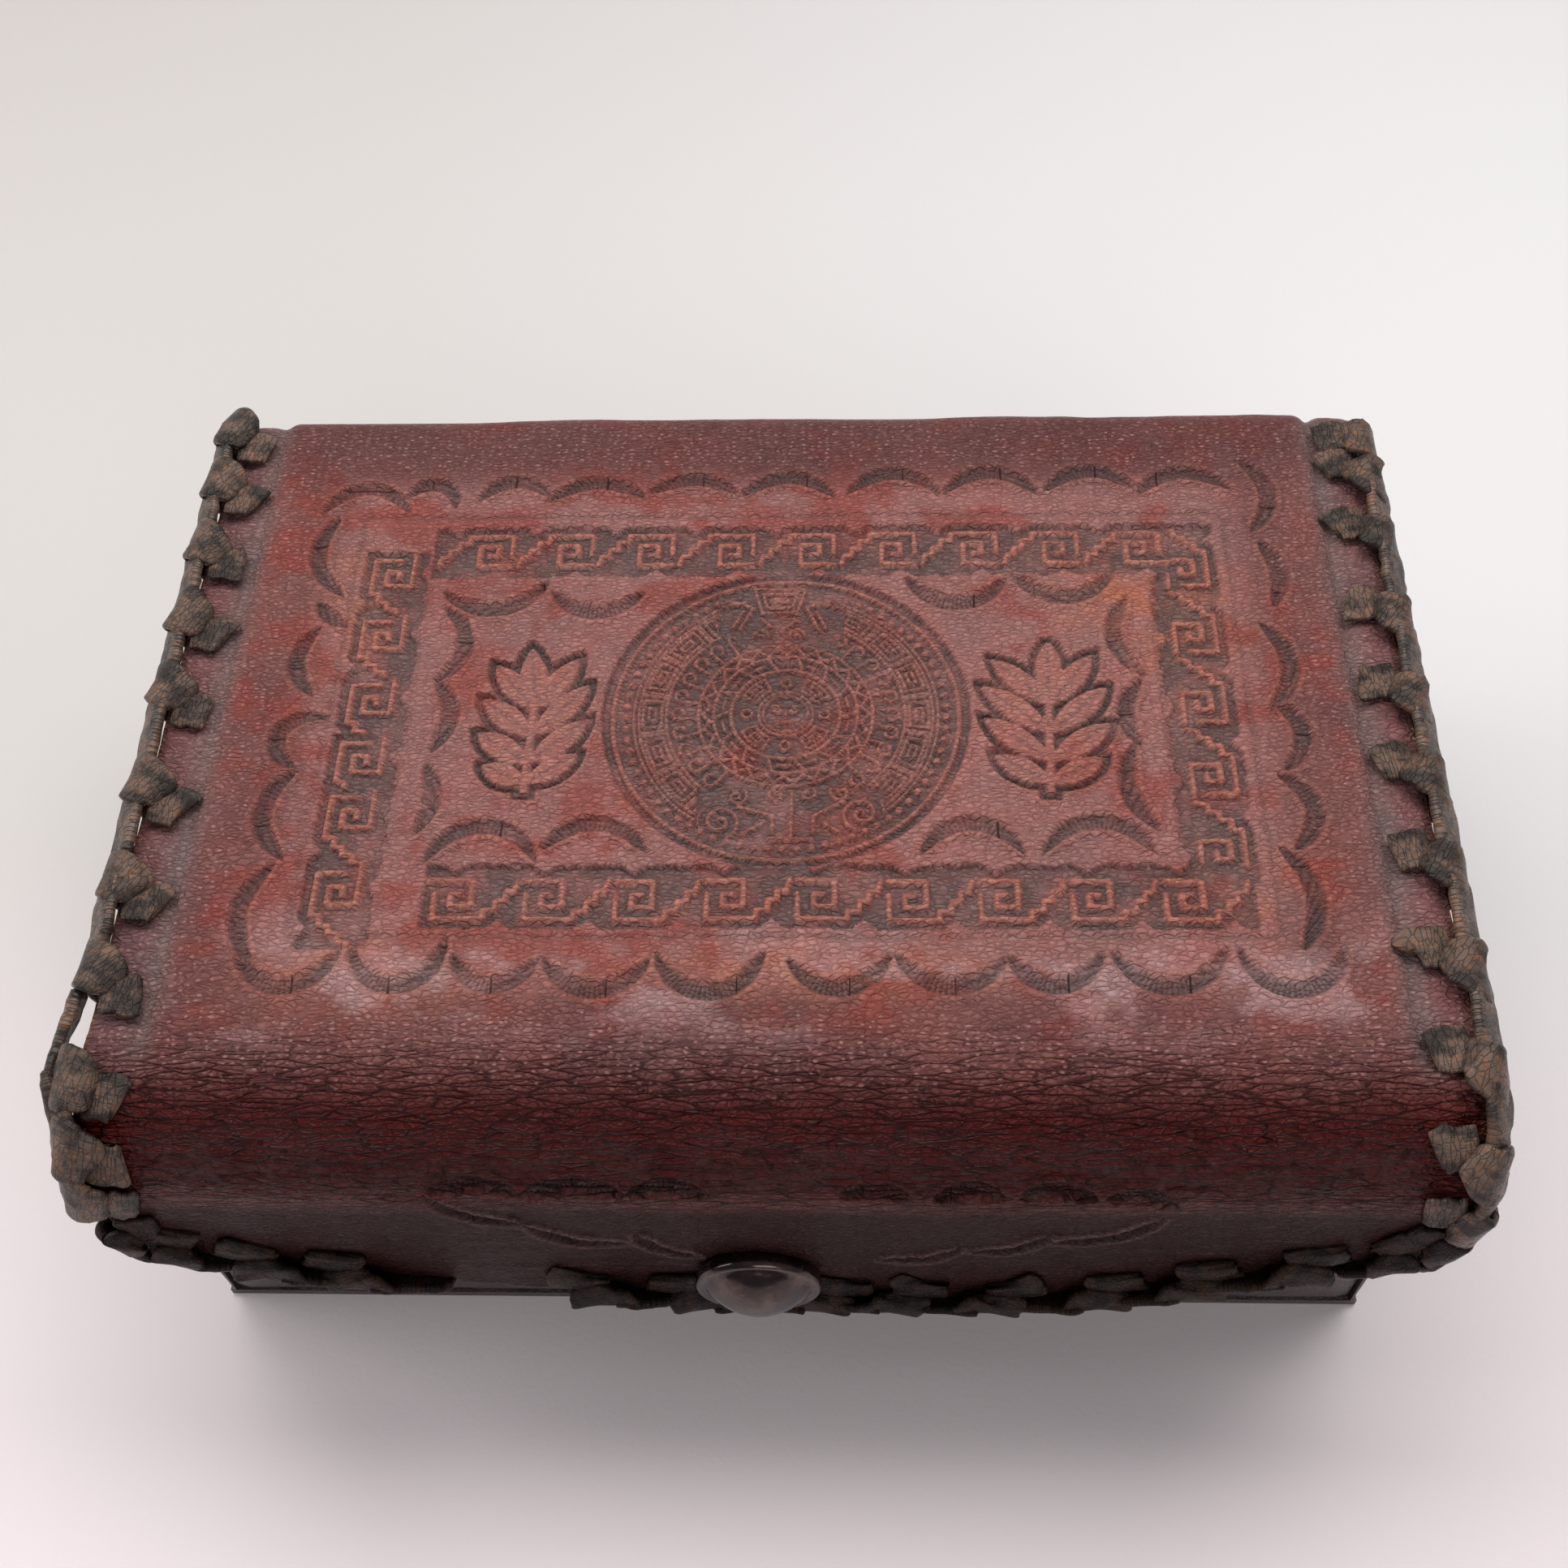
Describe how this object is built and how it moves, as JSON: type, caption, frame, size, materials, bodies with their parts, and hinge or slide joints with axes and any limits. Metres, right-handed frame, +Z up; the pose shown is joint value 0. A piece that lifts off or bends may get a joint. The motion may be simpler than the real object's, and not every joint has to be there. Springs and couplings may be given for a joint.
{
  "type": "leather jewellery case",
  "caption": "Small lidded case of tooled leather over board, with laced edges, a leather hinge and a front flap that snaps shut.",
  "frame": {"origin": "centre of the case's footprint, on the surface it stands on", "axes": "+X to the right along the case's length, +Y from the flap to the hinge, +Z up"},
  "size_m": [0.178, 0.129, 0.0705],
  "materials": {
    "tooled_leather": "tooled, antiqued and waxed hide",
    "base_leather": "pebbled dark hide",
    "flap_inner_leather": "plain inner leather",
    "lace": "waxed flat lace, worn at its edges",
    "lining_cloth": "short velvet nap",
    "padding": "short velvet nap over thin padding",
    "board": "grey-brown pressed board",
    "snap_metal": "dark bronzed and worn"
  },
  "bodies": {
    "base": {"bottom_leather": "base_leather", "bottom_board": "board", "front_board": "board", "back_board": "board", "left_board": "board", "right_board": "board", "front_leather": "base_leather", "back_leather": "tooled_leather", "left_leather": "base_leather", "right_leather": "base_leather", "front_lining": "lining_cloth", "back_lining": "lining_cloth", "left_lining": "lining_cloth", "right_lining": "lining_cloth", "floor_pad": "padding", "snap_stud": "snap_metal", "snap_post": "snap_metal", "hinge_strip": "tooled_leather"},
    "lid": {"lid_cover": "tooled_leather", "lid_board": "board", "lid_lining": "flap_inner_leather", "left_lacing": "lace", "right_lacing": "lace"},
    "flap": {"flap_leather": "tooled_leather", "flap_lining": "flap_inner_leather", "flap_lacing": "lace", "snap_cap": "snap_metal", "snap_socket": "snap_metal"}
  },
  "joints": [
    {"name": "lid_hinge", "type": "hinge", "parent": "base", "child": "lid", "pos_m": [0, 0.06262, 0.06712], "axis": [-1, 0, 0], "range_deg": [0, 105], "deforming": ["hinge_strip"]},
    {"name": "flap_bend", "type": "hinge", "parent": "lid", "child": "flap", "pos_m": [0, -0.06, 0.052], "axis": [-1, 0, 0], "range_deg": [0, 35], "stiffness_Nm_per_rad": 0.08}
  ]
}
